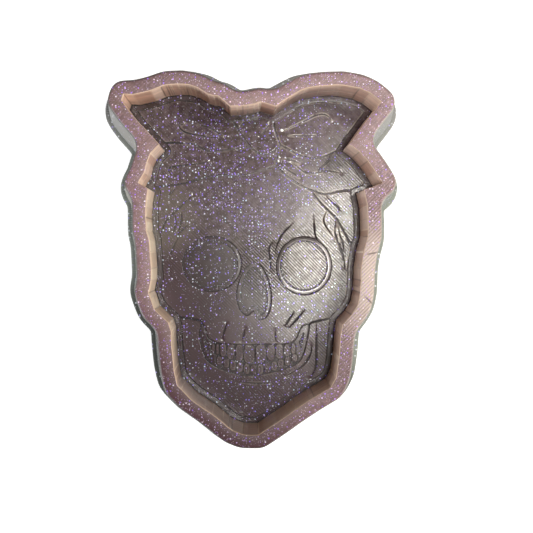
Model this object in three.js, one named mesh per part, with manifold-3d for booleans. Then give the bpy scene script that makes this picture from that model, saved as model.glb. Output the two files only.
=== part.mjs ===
// Silicone mould of a skull in a knotted head scarf, seen from its open side.
// Millimetres, +Z up, +Y towards the bow, origin under the middle of the base.
import * as THREE from 'three';
import { mergeVertices } from 'three/addons/utils/BufferGeometryUtils.js';
import Module from 'manifold-3d';

// Size of the cavity at its floor and at its mouth, since its wall is upright
const cavityWidth = 65;
const cavityLength = 87.4;
const cavityDepth = 19;

// Layers under the cavity, from the bottom up
const slabThickness = 3;
const floorCoatThickness = 1;
const reliefHeight = 1;

// Rim and outer wall
const rimWidth = 3.5;
const rimCoatThickness = 1;
const rimEdgeRadius = 0.7;
const wallDraft = 2.5;
const lipWidth = 1;
const lipHeight = 1.4;
const cornerStepDegrees = 15;

// Relief on the cavity floor
const borderGroove = 1.75;
const coatClearance = 0.3;
const lineWidth = 0.6;
const lineEndShare = 0.3;
const partingWidth = 0.7;
const partingEndShare = 0.8;
const lineSteps = 3;
const samePoint = 0.001;
const sameVertex = 1e-4;
const socketSteps = 32;

// Eye sockets as half width and half height, and the nose
const rightEye = { x: 13.8, y: -1.7, halfWidth: 7.55, halfHeight: 7.9 };
const leftEye = { x: -10.8, y: -1.2, halfWidth: 8, halfHeight: 7.5 };

// Teeth, from the viewer's left
const toothGap = 0.45;
const toothCorner = 0.6;
const toothSteps = 12;
const upperToothEdges = [-11.1, -9.9, -8.8, -6.9, -4.7, -2.4, 0.7, 3.7, 6.1, 8.3, 10.2, 11.7];
const upperToothTop = -22.9;
const upperToothTopRise = 0.5;
const upperToothTip = -27.7;
const upperToothTipRise = 3.2;
const lowerToothCount = 12;
const lowerToothPitch = 1.83;
const lowerToothHeight = 2.5;
const lowerToothShortening = 0.7;
const lowerToothMiddle = { x: 1.2, y: -29.5 };
const lowerToothRise = 3.7;
const smileMiddle = 0.5;
const smileHalfWidth = 12;
const smileCurve = 1.6;

const totalHeight = slabThickness + floorCoatThickness + reliefHeight + cavityDepth;
const grooveLevel = slabThickness + floorCoatThickness;

// Outline of the cavity as drawn, clockwise from the tip of the left loop, one flat facet per stretch
const leftLoopTop = [
  [-32.7, 39.7], [-32.2, 41.2], [-29.8, 41.1], [-25.5, 42.1], [-21.7, 43.5], [-17.6, 43.7],
  [-13.8, 42.9], [-11.3, 41.3], [-8.6, 40.8],
];
const knotTop = [[-5.7, 38.3], [-1.2, 38.6], [2, 39.4], [5.7, 38.3]];
const rightLoopTop = [
  [8.9, 40.5], [13, 42.7], [17, 43.4], [22.5, 43.6], [26.6, 42.9], [29.3, 41.7], [32.1, 39.5],
];
const rightLoopSide = [[28.8, 35.3], [24.1, 28.9]];
const rightScarfEnd = [[26.6, 27.1], [28.8, 24.7], [30.7, 22], [32.4, 19.3], [27.8, 17.6]];
const rightTemple = [[28.5, 14.4], [28.8, 10.3], [28.8, 5.9], [27.8, 2.4], [27.1, -2]];
const rightCheek = [[26.9, -8.2], [26.3, -11.2], [24.7, -13.7], [22.5, -16.1]];
const rightJaw = [[22, -18.9], [21.6, -24.4], [20.9, -29.3], [19.5, -31.9]];
const chin = [
  [15.4, -34.3], [10.8, -37.3], [6, -40.7], [1.5, -43.7], [-2.6, -43.6], [-5.3, -42.5],
  [-10.2, -38.5], [-15.6, -34.7],
];
const leftJaw = [[-18.9, -31.3], [-19.7, -27.6], [-20.3, -21.6], [-20.4, -17.8], [-21.1, -15.6]];
const leftCheek = [[-24.6, -12.3], [-26.1, -8.2], [-25.4, -5]];
const leftTemple = [[-25.9, 4.9], [-26.6, 7.3], [-26.6, 14.9], [-26.1, 17.8]];
const leftScarfEnd = [[-28.6, 19.2], [-27.1, 21.7], [-26.4, 24.4], [-25.5, 26.6]];
const leftLoopSide = [[-23.3, 28.8], [-27.3, 33.1], [-30.6, 36.8]];
const drawnOutline = [
  ...leftLoopTop, ...knotTop, ...rightLoopTop, ...rightLoopSide, ...rightScarfEnd,
  ...rightTemple, ...rightCheek, ...rightJaw, ...chin, ...leftJaw, ...leftCheek,
  ...leftTemple, ...leftScarfEnd, ...leftLoopSide,
];

// Lines that part one raised area from the next, from the viewer's left to right or downwards
const knotLeftFoot = [-0.6, 30];
const knotRightFoot = [7.4, 30.5];
const hemMeeting = [6.2, 25];
const hairMeeting = [15.3, 18.6];
const mouthLeftCorner = [-13.6, -16.4];
const mouthRightCorner = [15.6, -16.9];
const partings = {
  bowLeftUnderside: [
    [-26.8, 29.7], [-23.9, 30.9], [-16.7, 30.8], [-14.5, 30.1], [-10.7, 28.8], knotLeftFoot,
  ],
  knotLeftSide: [[-6.8, 41.5], [-5.2, 36.9], [-3.3, 33.7], knotLeftFoot],
  knotUnderside: [knotLeftFoot, [1.5, 28.3], [4.4, 28], knotRightFoot],
  knotRightSide: [[6, 42.5], [5.5, 37.7], [6, 34.5], knotRightFoot],
  bowRightUnderside: [knotRightFoot, [10.2, 29], [13.5, 27.4], [17.9, 27.1], [25, 30]],
  scarfParting: [knotRightFoot, [6.5, 27.7], hemMeeting],
  scarfLeftHem: [
    [-29.5, 19.1], [-20.3, 19.8], [-12.7, 21.6], [-7.3, 22.4], [-1.4, 22.5], hemMeeting,
  ],
  scarfMiddleHem: [hemMeeting, [9, 22.3], [12.9, 19.7], hairMeeting],
  scarfRightHem: [hairMeeting, [19.3, 17.4], [24, 18.2], [35.7, 19.6]],
  templeStrand: [hairMeeting, [18.4, 14.9], [22.5, 10.6], [25.5, 5.4], [28.5, -0.5]],
  leftCheekLine: [[-23.5, -15], [-17.8, -15.6], mouthLeftCorner],
  rightCheekLine: [mouthRightCorner, [20.2, -15.9], [23.6, -15.1]],
};

// Edges of the open mouth, in which the teeth stand
const mouthTop = [
  mouthLeftCorner, [-12.5, -18.2], [-12, -20.2], [-11.2, -21.3], [-8.8, -22.2], [-3.3, -22.5],
  [4.7, -22.5], [8.3, -22.4], [10.6, -22], [11.7, -21], [12.3, -19.4], [13.2, -17.7],
  mouthRightCorner,
];
const mouthBottom = [
  mouthLeftCorner, [-14.3, -19.5], [-14, -22.5], [-12.6, -26.7], [-11.2, -28], [-9.2, -29.2],
  [-5, -30.7], [-0.3, -31.3], [4.4, -30.6], [10, -29], [12.5, -27.6], [13.9, -25.2],
  [14.9, -20.9], mouthRightCorner,
];

// Nose opening, an upside-down heart: its right half and its left half
const noseTip = [0.2, -0.6];
const noseNotch = [0.2, -13.8];
const noseRight = [noseTip, [2.6, -2], [4.5, -6], [5.2, -11], [4, -15.3], [1.5, -16.1], noseNotch];
const noseLeft = [noseNotch, [-1.2, -15.1], [-3.2, -14], [-4.4, -10], [-3.7, -5.8], [-2, -2.3], noseTip];

// Free lines drawn into each raised area
const bowLeftLines = [
  [[-17.8, 36.1], [-19.4, 35.6], [-18.9, 34.5], [-17, 33.5], [-12.1, 32.6], [-9.6, 32.3]],
  [[-14.5, 35.8], [-11.3, 35], [-9.6, 33.9], [-7.5, 32.6]],
];
const bowRightLines = [
  [[8.2, 34.2], [13, 36.4], [17.1, 38.4], [19.6, 38.5], [21.3, 36.9]],
  [[9.7, 32.9], [13.2, 32.9], [16.8, 33.1]],
];
const knotLines = [
  [[2, 32.7], [3.2, 34.3], [4.4, 35.8]],
  [[-2.4, 36.3], [-2.7, 35.8], [-3.1, 35.4]],
];
const scarfLeftLines = [[[-21.9, 22.8], [-22.4, 23.9], [-21.1, 24.7], [-16.2, 25.2], [-11.3, 26]]];
const scarfRightLines = [
  [[20.8, 27.6], [20.2, 26.2], [19.1, 25.1], [17.6, 23.8]],
  [[7.7, 26.7], [9.6, 26.7], [11.2, 26.2], [12.6, 25.6]],
  [[10.6, 25.7], [12.2, 24.5], [14.4, 23], [17, 23.1], [20.5, 23.6], [23.5, 23]],
  [[7.3, 25.7], [9.2, 24], [12.5, 21.7]],
];
const rightTempleLines = [[[19.8, 16.7], [22.8, 13.8], [23.3, 13]]];
const rightHairLines = [
  [[19.6, 12.5], [19, 10.3], [20.1, 8.1], [21.7, 5.9]],
  [[22.2, 9.7], [22.2, 6.5], [24.2, 1], [24.7, -2.3]],
  [[22.9, 8.6], [23.4, 6.4], [24.2, 4.2], [24.4, 2.7]],
];
const leftHairLines = [
  [[-20.7, 18.7], [-22.6, 16.8]],
  [[-15.9, 17.1], [-19.4, 13.8], [-23.3, 9.7], [-24.6, 5.9]],
  [[-20.7, 11.7], [-20.5, 9.5], [-21.1, 7.3]],
  [[-18.9, 12.2], [-18.9, 10.3], [-19.7, 7.6]],
  [[-17.3, 9.2], [-20, 6.5]],
  [[-20, 5.4], [-21.4, 2.7], [-21.9, 1]],
];
const faceLines = [
  [[10.5, 9.2], [8.9, 7.8], [7.2, 5.4], [6, 2.1]],
  [[16.4, 11.3], [16.5, 8.9], [16.8, 6.2], [17.9, 4.3]],
  [[5.1, 4.3], [4.3, 2.7], [4.6, 0.4], [4.9, -2.4]],
  [[8.7, -17.7], [10.9, -14.4]],
  [[9.9, -18.2], [13.6, -14]],
  [[-6.9, -17], [-8, -21.1]],
  [[-2, -18.6], [-2.7, -21.6]],
  [[6, -19.1], [6.3, -21.8]],
];
const jawLines = [
  [[17.2, -17.5], [17.1, -22.9], [17, -28.5], [15.7, -31.4]],
  [[15.8, -23], [15.5, -25.5], [13.3, -28.5], [9.2, -31]],
  [[-3.1, -32.8], [1, -33.1], [4.8, -33]],
];

function boxOf(points) {
  const box = new THREE.Box2();
  points.forEach(([x, y]) => box.expandByPoint(new THREE.Vector2(x, y)));
  return box;
}

// Drawn place to real place: the drawing is stretched to the cavity's width and length
const drawnSize = boxOf(drawnOutline).getSize(new THREE.Vector2());
function place([x, y]) {
  return new THREE.Vector2((x * cavityWidth) / drawnSize.x, (y * cavityLength) / drawnSize.y);
}

// Outward normal of the edge from one point to the next, for an outline that runs clockwise
function outwardNormal(from, to) {
  const along = to.clone().sub(from).normalize();
  return new THREE.Vector2(-along.y, along.x);
}

// Normals of the edges before and after a corner, and where the corner goes when both move out by 1 mm
function cornerOf(outline, i) {
  const count = outline.length;
  const before = outwardNormal(outline[(i + count - 1) % count], outline[i]);
  const after = outwardNormal(outline[i], outline[(i + 1) % count]);
  const mitre = before.clone().add(after).divideScalar(1 + before.dot(after));
  return { before, after, mitre };
}

// Move every point of a closed outline outwards by one distance, with its corners kept sharp
function shifted(outline, distance) {
  return outline.map((here, i) => here.clone().addScaledVector(cornerOf(outline, i).mitre, distance));
}

function crossingOf(a, b, c, d) {
  const along = b.clone().sub(a);
  const across = d.clone().sub(c);
  const between = c.clone().sub(a);
  const area = along.cross(across);
  if (area === 0) return null;
  const t = between.cross(across) / area;
  const u = between.cross(along) / area;
  return t > 0 && t < 1 && u > 0 && u < 1 ? a.clone().addScaledVector(along, t) : null;
}

// Distance from a point to the nearest stretch of a closed outline
function distanceTo(outline, point) {
  const lifted = ({ x, y }) => new THREE.Vector3(x, y, 0);
  const from = lifted(point);
  const nearest = new THREE.Vector3();
  return Math.min(...outline.map((start, i) => {
    const stretch = new THREE.Line3(lifted(start), lifted(outline[(i + 1) % outline.length]));
    return stretch.closestPointToPoint(from, true, nearest).distanceTo(from);
  }));
}

// Cut off the small loops that an offset outline makes at the corners that close up.
// The walk starts at a point that lies in none of them.
function withoutLoops(points, start) {
  const count = points.length;
  const reach = Math.floor(count / 4);
  const at = (i) => points[(start + i) % count];
  const result = [at(0)];
  let i = 0;
  while (i + 1 < count) {
    const meeting = (j) => crossingOf(result.at(-1), at(i + 1), at(j), at(j + 1));
    let j = Math.min(i + reach, count - 1);
    while (j > i + 1 && !meeting(j)) j -= 1;
    result.push(j > i + 1 ? meeting(j) : at(i + 1));
    i = Math.max(j, i + 1);
  }
  return result;
}

// Outline at a set distance outside a closed outline, or inside it when the distance is negative.
// The corners that open up are rounded with short stretches.
function offsetOutline(outline, distance) {
  const step = THREE.MathUtils.degToRad(cornerStepDegrees);
  const points = [];
  outline.forEach((here, i) => {
    const { before, after, mitre } = cornerOf(outline, i);
    const turn = Math.atan2(before.cross(after), before.dot(after));
    const opens = turn * distance < 0;
    const parts = opens ? Math.ceil(Math.abs(turn) / step) : 1;
    if (opens && parts === 1) {
      points.push(here.clone().addScaledVector(mitre, distance));
      return;
    }
    for (let k = 0; k <= parts; k += 1) {
      const normal = before.clone().rotateAround(new THREE.Vector2(), (turn * k) / parts);
      points.push(here.clone().addScaledVector(normal, distance));
    }
  });
  const reached = Math.abs(distance) - samePoint;
  return withoutLoops(points, points.findIndex((point) => distanceTo(outline, point) > reached));
}

// Closed body between levels of matching outlines, round matching levels of a hole if there is one.
// Each level is { z, outline }, listed from the bottom up, and outlines run clockwise.
function layeredBody(outer, inner = []) {
  const positions = [];
  const add = (point, z) => positions.push(point.x, point.y, z);
  const skin = (levels, outward) => {
    for (let k = 0; k + 1 < levels.length; k += 1) {
      const low = levels[k];
      const high = levels[k + 1];
      low.outline.forEach((a, i) => {
        const j = (i + 1) % low.outline.length;
        const corners = [[low, i], [high, i], [high, j], [low, i], [high, j], [low, j]];
        if (!outward) corners.reverse();
        corners.forEach(([level, n]) => add(level.outline[n], level.z));
      });
    }
  };
  const cap = (outline, hole, z, up) => {
    const all = hole ? [...outline, ...hole] : outline;
    const triangles = THREE.ShapeUtils.triangulateShape(outline, hole ? [hole] : []);
    triangles.forEach((triangle) => {
      const [a, b, c] = triangle.map((n) => all[n]);
      const facesUp = b.clone().sub(a).cross(c.clone().sub(a)) > 0;
      const ordered = facesUp === up ? [a, b, c] : [a, c, b];
      ordered.forEach((point) => add(point, z));
    });
  };
  skin(outer, true);
  skin(inner, false);
  const top = outer.length - 1;
  cap(outer[0].outline, inner[0]?.outline, outer[0].z, false);
  cap(outer[top].outline, inner.at(-1)?.outline, outer[top].z, true);
  const geometry = new THREE.BufferGeometry();
  geometry.setAttribute('position', new THREE.Float32BufferAttribute(positions, 3));
  return geometry;
}

function plate(outline, bottom, thickness) {
  return layeredBody([{ z: bottom, outline }, { z: bottom + thickness, outline }]);
}

const manifold = await Module();
manifold.setup();

function solidOf(geometry) {
  const bare = geometry.clone();
  bare.deleteAttribute('normal');
  bare.deleteAttribute('uv');
  const merged = mergeVertices(bare, sameVertex);
  return new manifold.Manifold(new manifold.Mesh({
    numProp: 3,
    vertProperties: new Float32Array(merged.attributes.position.array),
    triVerts: new Uint32Array(merged.index.array),
  }));
}

function geometryOf(solid) {
  const mesh = solid.getMesh();
  const geometry = new THREE.BufferGeometry();
  geometry.setAttribute('position', new THREE.BufferAttribute(new Float32Array(mesh.vertProperties), 3));
  geometry.setIndex(new THREE.BufferAttribute(new Uint32Array(mesh.triVerts), 1));
  return geometry;
}

// Smooth run of points through the drawn points of a line
function run(drawnPoints) {
  const curve = new THREE.SplineCurve(drawnPoints.map(place));
  return curve.getPoints((drawnPoints.length - 1) * lineSteps);
}

// Closed outline made ready for a plate: running clockwise, with shared end points kept once
function clockwise(outline) {
  const points = outline.filter((point, i) => point.distanceTo(outline.at(i - 1)) > samePoint);
  return THREE.ShapeUtils.isClockWise(points) ? points : points.reverse();
}

// A cutter for one line: as wide as asked in its middle, narrower towards its ends, which are pointed
function lineCutter(drawnPoints, width, endShare) {
  const points = run(drawnPoints);
  const last = points.length - 1;
  const sides = points.map((here, i) => {
    const normal = outwardNormal(points[Math.max(i - 1, 0)], points[Math.min(i + 1, last)]);
    const share = endShare + (1 - endShare) * Math.sin((Math.PI * i) / last);
    return normal.multiplyScalar((width * share) / 2);
  });
  const left = points.map((here, i) => here.clone().add(sides[i]));
  const right = points.map((here, i) => here.clone().sub(sides[i]));
  const pointBeyond = (end, inner) => {
    const outwards = end.clone().sub(inner).setLength(width / 2);
    return end.clone().add(outwards);
  };
  const start = pointBeyond(points[0], points[1]);
  const end = pointBeyond(points[last], points[last - 1]);
  return plate(clockwise([start, ...left, end, ...right.reverse()]), 0, totalHeight);
}

function ellipse({ x, y, halfWidth, halfHeight }) {
  return Array.from({ length: socketSteps }, (_, i) => {
    const angle = (2 * Math.PI * i) / socketSteps;
    return place([x + halfWidth * Math.cos(angle), y + halfHeight * Math.sin(angle)]);
  });
}

// A tooth seen from the front: a box with well rounded corners
function toothOutline(x, y, width, height) {
  const power = (value) => Math.sign(value) * Math.abs(value) ** toothCorner;
  return Array.from({ length: toothSteps }, (_, i) => {
    const angle = (2 * Math.PI * (i + 0.5)) / toothSteps;
    return place([x + (width / 2) * power(Math.cos(angle)), y + (height / 2) * power(Math.sin(angle))]);
  });
}

// How high the smile has risen at a place, as a share of its rise at the corners of the mouth
function smile(x) {
  return Math.abs((x - smileMiddle) / smileHalfWidth) ** smileCurve;
}

function upperTeeth() {
  return upperToothEdges.slice(1).map((right, i) => {
    const left = upperToothEdges[i];
    const x = (left + right) / 2;
    const top = upperToothTop + upperToothTopRise * smile(x);
    const tip = upperToothTip + upperToothTipRise * smile(x);
    return toothOutline(x, (top + tip) / 2, right - left - toothGap, top - tip);
  });
}

function lowerTeeth() {
  const firstX = lowerToothMiddle.x - (lowerToothPitch * (lowerToothCount - 1)) / 2;
  return Array.from({ length: lowerToothCount }, (_, i) => {
    const x = firstX + i * lowerToothPitch;
    const y = lowerToothMiddle.y + lowerToothRise * smile(x);
    const height = lowerToothHeight - lowerToothShortening * smile(x);
    return toothOutline(x, y, lowerToothPitch - toothGap, height);
  });
}

// Colours of the casting where it is plain and where the glitter settled
const clearSilicone = { color: 0x9ea196, roughness: 0.35 };
const rimGlitterSilicone = { color: 0xa08086, roughness: 0.4 };
const floorGlitterSilicone = { color: 0x6b6062, roughness: 0.3 };

const mould = new THREE.Group();

function addPiece(name, geometry, finish) {
  const mesh = new THREE.Mesh(geometry, new THREE.MeshStandardMaterial({ ...finish, metalness: 0 }));
  mesh.name = name;
  mould.add(mesh);
}

// Outer wall: its widest outline is worked out once, and each level is that one drawn in
const cavity = drawnOutline.map(place);
const baseReach = rimWidth + wallDraft + lipWidth;
const base = offsetOutline(cavity, baseReach);
const draftAt = (z) => rimWidth + (wallDraft * (totalHeight - z)) / totalHeight;
const wallLevel = (z, extra = 0) => ({ z, outline: shifted(base, draftAt(z) + extra - baseReach) });
const holeLevels = (...heights) => heights.map((z) => ({ z, outline: cavity }));

const lipShoulder = lipHeight / 2;
addPiece('base_slab', layeredBody([
  wallLevel(0, lipWidth),
  wallLevel(lipShoulder, lipWidth),
  wallLevel(lipHeight),
  wallLevel(slabThickness),
]), clearSilicone);

const rimCoatBottom = totalHeight - rimCoatThickness;
addPiece('side_wall', layeredBody(
  [wallLevel(slabThickness), wallLevel(rimCoatBottom)],
  holeLevels(slabThickness, rimCoatBottom),
), clearSilicone);

const edgeBottom = totalHeight - rimEdgeRadius;
const edgeMiddle = edgeBottom + rimEdgeRadius * Math.SQRT1_2;
addPiece('rim_coat', layeredBody(
  [
    wallLevel(rimCoatBottom),
    wallLevel(edgeBottom),
    wallLevel(edgeMiddle, -rimEdgeRadius * (1 - Math.SQRT1_2)),
    wallLevel(totalHeight, -rimEdgeRadius),
  ],
  holeLevels(rimCoatBottom, totalHeight),
), rimGlitterSilicone);

const floorCoat = plate(shifted(cavity, -coatClearance), slabThickness, floorCoatThickness);
addPiece('floor_coat', floorCoat, floorGlitterSilicone);

// Raised areas: one plate inside the border groove, shared out by the parting lines
const reliefPlate = solidOf(plate(offsetOutline(cavity, -borderGroove), grooveLevel, reliefHeight));
const farAway = cavityLength;
const line = Object.fromEntries(Object.entries(partings).map(([name, points]) => [name, run(points)]));
const backwards = (points) => [...points].reverse();
const corner = (x, y) => new THREE.Vector2(x, y);

function raisedArea(name, region, lines, openings = []) {
  const area = solidOf(plate(clockwise(region), grooveLevel, reliefHeight)).intersect(reliefPlate);
  const cutters = [
    ...Object.values(partings).map((points) => lineCutter(points, partingWidth, partingEndShare)),
    ...lines.map((points) => lineCutter(points, lineWidth, lineEndShare)),
    ...openings.map((outline) => plate(clockwise(outline), 0, totalHeight)),
  ];
  const solid = cutters.reduce((rest, cutter) => rest.subtract(solidOf(cutter)), area);
  addPiece(name, geometryOf(solid), floorGlitterSilicone);
}

raisedArea('bow_left_loop', [
  ...line.bowLeftUnderside, ...backwards(line.knotLeftSide),
  corner(line.knotLeftSide[0].x, farAway), corner(-farAway, farAway),
  corner(-farAway, line.bowLeftUnderside[0].y),
], bowLeftLines);

raisedArea('bow_knot', [
  ...line.knotLeftSide, ...line.knotUnderside, ...backwards(line.knotRightSide),
  corner(line.knotRightSide[0].x, farAway), corner(line.knotLeftSide[0].x, farAway),
], knotLines);

raisedArea('bow_right_loop', [
  ...line.knotRightSide, ...line.bowRightUnderside,
  corner(farAway, line.bowRightUnderside.at(-1).y), corner(farAway, farAway),
  corner(line.knotRightSide[0].x, farAway),
], bowRightLines);

raisedArea('scarf_left', [
  ...line.bowLeftUnderside, ...line.knotUnderside, ...line.scarfParting, ...backwards(line.scarfLeftHem),
  corner(-farAway, line.scarfLeftHem[0].y), corner(-farAway, line.bowLeftUnderside[0].y),
], scarfLeftLines);

raisedArea('scarf_right', [
  ...backwards(line.scarfParting), ...line.bowRightUnderside,
  corner(farAway, line.bowRightUnderside.at(-1).y), corner(farAway, line.scarfRightHem.at(-1).y),
  ...backwards(line.scarfRightHem), ...backwards(line.scarfMiddleHem),
], scarfRightLines);

raisedArea('right_temple', [
  ...line.scarfRightHem, corner(farAway, line.scarfRightHem.at(-1).y),
  corner(farAway, line.templeStrand.at(-1).y), ...backwards(line.templeStrand),
], rightTempleLines);

raisedArea('face', [
  ...line.scarfLeftHem, ...line.scarfMiddleHem, ...line.templeStrand,
  corner(farAway, line.templeStrand.at(-1).y), corner(farAway, line.rightCheekLine.at(-1).y),
  ...backwards(line.rightCheekLine), ...backwards(mouthTop.map(place)), ...backwards(line.leftCheekLine),
  corner(-farAway, line.leftCheekLine[0].y), corner(-farAway, line.scarfLeftHem[0].y),
], [...rightHairLines, ...leftHairLines, ...faceLines], [
  ellipse(rightEye),
  ellipse(leftEye),
  [...run(noseRight), ...run(noseLeft)],
]);

raisedArea('jaw', [
  ...line.leftCheekLine, ...mouthBottom.map(place), ...line.rightCheekLine,
  corner(farAway, line.rightCheekLine.at(-1).y), corner(farAway, -farAway),
  corner(-farAway, -farAway), corner(-farAway, line.leftCheekLine[0].y),
], jawLines);

function teeth(name, outlines) {
  outlines.forEach((outline, i) => {
    const tooth = plate(clockwise(outline), grooveLevel, reliefHeight);
    addPiece(`${name}_${i + 1}`, tooth, floorGlitterSilicone);
  });
}

teeth('upper_tooth', upperTeeth());
teeth('lower_tooth', lowerTeeth());

// The origin goes under the middle of the base
const baseMiddle = boxOf(base.map((point) => point.toArray())).getCenter(new THREE.Vector2());
mould.position.set(-baseMiddle.x, -baseMiddle.y, 0);
mould.updateMatrixWorld(true);

export default mould;
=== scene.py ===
import math

import bpy
import numpy as np
from mathutils import Matrix, Quaternion, Vector
from mathutils.bvhtree import BVHTree
from mathutils.geometry import delaunay_2d_cdt


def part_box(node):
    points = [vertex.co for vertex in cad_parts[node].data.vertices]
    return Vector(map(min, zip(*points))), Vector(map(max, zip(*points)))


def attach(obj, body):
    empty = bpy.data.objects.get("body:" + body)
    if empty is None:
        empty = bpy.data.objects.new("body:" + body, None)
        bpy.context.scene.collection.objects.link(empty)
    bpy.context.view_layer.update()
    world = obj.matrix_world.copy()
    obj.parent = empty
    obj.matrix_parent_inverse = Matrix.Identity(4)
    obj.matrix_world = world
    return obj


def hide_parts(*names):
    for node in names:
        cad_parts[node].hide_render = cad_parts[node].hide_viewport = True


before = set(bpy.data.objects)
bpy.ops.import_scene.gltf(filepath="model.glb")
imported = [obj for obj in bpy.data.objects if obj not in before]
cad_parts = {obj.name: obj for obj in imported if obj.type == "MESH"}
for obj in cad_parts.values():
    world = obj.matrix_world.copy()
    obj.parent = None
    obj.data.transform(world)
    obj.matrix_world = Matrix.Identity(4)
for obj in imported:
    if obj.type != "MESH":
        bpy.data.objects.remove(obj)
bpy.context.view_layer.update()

# Outlines are worked out in millimetres and meshes are made in metres
MM = 0.001

# Heights of the casting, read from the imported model
SLAB_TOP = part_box("base_slab")[1].z / MM
GROOVE_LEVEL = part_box("floor_coat")[1].z / MM
RELIEF_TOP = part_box("face")[1].z / MM
RIM_COAT_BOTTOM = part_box("rim_coat")[0].z / MM
MOUTH_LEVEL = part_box("rim_coat")[1].z / MM

# What stands up from the cavity's floor
RAISED_AREAS = [
    "bow_left_loop", "bow_knot", "bow_right_loop",
    "scarf_left", "scarf_right", "right_temple", "face", "jaw",
]
TEETH = sorted(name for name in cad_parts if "tooth" in name)

# Tolerances in mm, and angles in degrees: an outline's smaller turns are left out, its larger ones stay
# corners, and faces that meet at more than the last one keep a sharp edge
SAME_LEVEL = 0.01
SAME_POINT = 1e-5
STRAIGHT = 0.4
SHARP_CORNER = 42
SHARP_FACES = 35

# Relief: how finely it is drawn, how the casting rounded, grew and wavered its edges, and how deep its
# lines are. The points inside an outline keep clear of it by the grid's and the rings' room
RELIEF_STEP = 0.25
TOOTH_STEP = 0.18
RELIEF_SOFTNESS = 0.10
RELIEF_EDGE_RADIUS = 0.12
RELIEF_GROWTH = 0.09
RELIEF_WAVER = 0.05
LINE_DEPTH = 0.55
EDGE_RINGS = (0.12, 0.45, 1, 1.5)
RING_ROOM = 0.9
FLOOR_GRID = 0.6
GRID_ROOM = 0.2

# Outer wall: how finely and softly it is drawn, and the thin lip at its foot
WALL_STEP = 0.45
WALL_SOFTNESS = 1.0
WALL_LEVELS = 11
LIP_HEIGHT = 1.4
LIP_RADIUS = 0.35
LIP_SHOULDER = 0.05
INNER_RADIUS = 0.22

# Inner wall: its facets' widths and waver, and the upper wall from left to right where they are finer
FACET_STEP = 0.1
FACET_CORNER = 24
FACET_WIDTHS = (0.9, 4.6)
FACET_WAVER = 0.1
FINE_FACETS = (-24, 2, 28)
FINE_SHARE = 0.4
CREASE_REACH = 0.3
CREASE_SHARE = 0.3

# Lines that the printed tray left: their pitch, height and direction
FLOOR_LINE_PITCH = 0.63
RIM_LINE_PITCH = 0.66
RIB_PITCH = 0.55
LINE_HEIGHT = 0.022
LINE_VALLEY = 0.15
RIB_HEIGHT = 0.08
PERIMETER_WIDTH = 1.05
DIMPLE_RING = 1.2
ACROSS_FLOOR_LINES = (0.7071, 0.7071, 0.0)
ACROSS_RIM_LINES = (0.7071, -0.7071, 0.0)

# Height of the fine grain on each surface
FLOOR_GRAIN = 0.0015
RIM_GRAIN = 0.006
WALL_GRAIN = 0.02

SILICONE_IOR = 1.41

# Glitter: the cell that may hold a flake and the flake's largest size. Real flakes are about 0.1 to 0.4 mm,
# and the small ones are drawn as coarse as they need to show
FLOOR_FLAKES = ((0.37, 0.17), (0.49, 0.19), (0.79, 0.27))
RIM_FLAKES = ((0.37, 0.15), (0.49, 0.19), (0.79, 0.28))
WALL_FLAKES = (0.9, 0.42)

# Where the rim's painted sheen is strongest and its lines clearest
RIM_SHEEN_CENTRE = (35.0, -6.0, 24.0)

# Points and directions of the seams across the rim and down the wall at the right
RIM_SEAMS = [((32.7, 2.2, 24.0), (0.98, 0.2)), ((31.0, -12.0, 24.0), (0.7, -0.714))]
WALL_SEAM = ((28.0, 2.0, 15.0), (0.98, 0.2))

# Places on the floor whose finish, painted shade and painted light differ, and how far the forehead's glitter
# and its smoothness reach
FOREHEAD = (-1.0, 24.0, 5.0)
MOUTH = (3.0, -28.0, 5.0)
RIGHT_EYE = (15.0, 1.5, 5.0)
NOSE = (2.6, -2.0, 5.0)
LEFT_TEMPLE = (-24.0, 11.0, 5.0)
RIGHT_CHEEK = (14.5, -12.0, 5.0)
GLITTER_REACH = 30
SMOOTH_REACH = 24

# Directions in which the casting's colour, painted shade and painted light change, seen from above with the
# bow at the top
TO_BOW = (0.0, 1.0, 0.0)
TO_LEFT_LOOP = (-0.3, 0.95, 0.0)
TO_LEFT_SCARF = (-0.6, 0.8, 0.0)
TO_LEFT_TEMPLE = (-0.9, 0.4, 0.0)
TO_LEFT = (-1.0, 0.0, 0.0)
TO_LEFT_CHEEK = (-0.8, -0.6, 0.0)
TO_LEFT_JAW = (-0.7, -0.71, 0.0)
TO_LEFT_CHIN = (-0.6, -0.8, 0.0)
TO_CHIN = (-0.35, -0.93, 0.0)
TO_RIGHT_CHIN = (0.3, -0.95, 0.0)
TO_RIGHT_JAW = (0.5, -0.85, 0.0)
TO_RIGHT_CHEEK = (0.9, -0.4, 0.0)
TO_RIGHT = (1.0, 0.0, 0.0)
TO_RIGHT_TEMPLE = (0.9, 0.3, 0.0)

# How bright the paper and the room are
PAPER_GLOW = 0.62
ROOM_LEVEL = 0.15

# The camera stood over the open mould. The photo's frame is 533 px wide and high
CAMERA_PLACE = (-1.838, 2.481, 297.0)
CAMERA_TARGET = (3.52, -1.63, MOUTH_LEVEL)
FRAME_WIDTH_PX = 533
FOCAL_PX = 1095
SENSOR_WIDTH = 36

# Seeded, so that each run gives the same casting
DICE = np.random.default_rng(7)


def colour(code):
    """An sRGB hex value as the linear colour that shaders take."""
    parts = [int(code[i:i + 2], 16) / 255 for i in (1, 3, 5)]
    return tuple(p / 12.92 if p <= 0.04045 else ((p + 0.055) / 1.055) ** 2.4 for p in parts) + (1.0,)


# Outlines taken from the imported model

def corners_and_triangles(node):
    """A CAD node's corners in millimetres, each once, and its triangles."""
    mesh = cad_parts[node].data
    mesh.calc_loop_triangles()
    corners = np.array([v.co for v in mesh.vertices]) / MM
    _, first, same = np.unique(np.round(corners, 3), axis=0, return_index=True, return_inverse=True)
    triangles = same.reshape(-1)[np.array([t.vertices for t in mesh.loop_triangles])]
    return corners[first], triangles


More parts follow.
